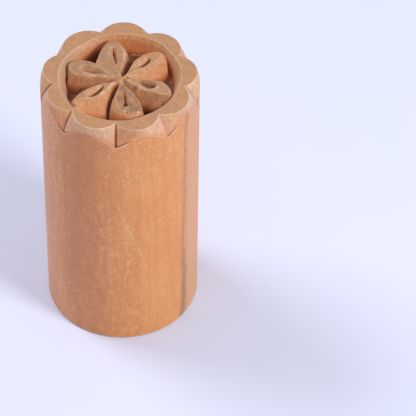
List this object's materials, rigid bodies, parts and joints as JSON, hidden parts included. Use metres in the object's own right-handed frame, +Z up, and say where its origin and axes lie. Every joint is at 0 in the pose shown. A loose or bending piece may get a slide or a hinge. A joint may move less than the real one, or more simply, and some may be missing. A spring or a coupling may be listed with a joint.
{
  "type": "carved wooden butter stamp",
  "caption": "Round wooden hand stamp for printing butter or pastry: a plain cylindrical grip whose upper end is carved with a scalloped rim around a sunk flower of leaf-shaped petals.",
  "frame": {"origin": "centre of the flat base, on the axis of the round grip", "axes": "+Z up along the grip's axis, from the flat base to the carved printing end; -Y is the front; the carved motif has no special heading, so +X is simply right seen from the front"},
  "size_m": [0.04, 0.04, 0.077],
  "materials": {
    "side_grain": "bare sanded side grain of a light pear-like wood, matt, faint pale flecks",
    "carved_end": "knife-carved end grain of the same wood, matt, greyer printing faces and fresher orange cuts"
  },
  "bodies": {
    "root": {"turned_grip": "side_grain", "rim_scallop_1": "carved_end", "rim_scallop_2": "carved_end", "rim_scallop_3": "carved_end", "rim_scallop_4": "carved_end", "rim_scallop_5": "carved_end", "rim_scallop_6": "carved_end", "rim_scallop_7": "carved_end", "rim_scallop_8": "carved_end", "rim_scallop_9": "carved_end", "petal_1": "carved_end", "petal_2": "carved_end", "petal_3": "carved_end", "petal_4": "carved_end", "petal_5": "carved_end", "petal_6": "carved_end", "flower_centre": "carved_end"}
  },
  "joints": []
}
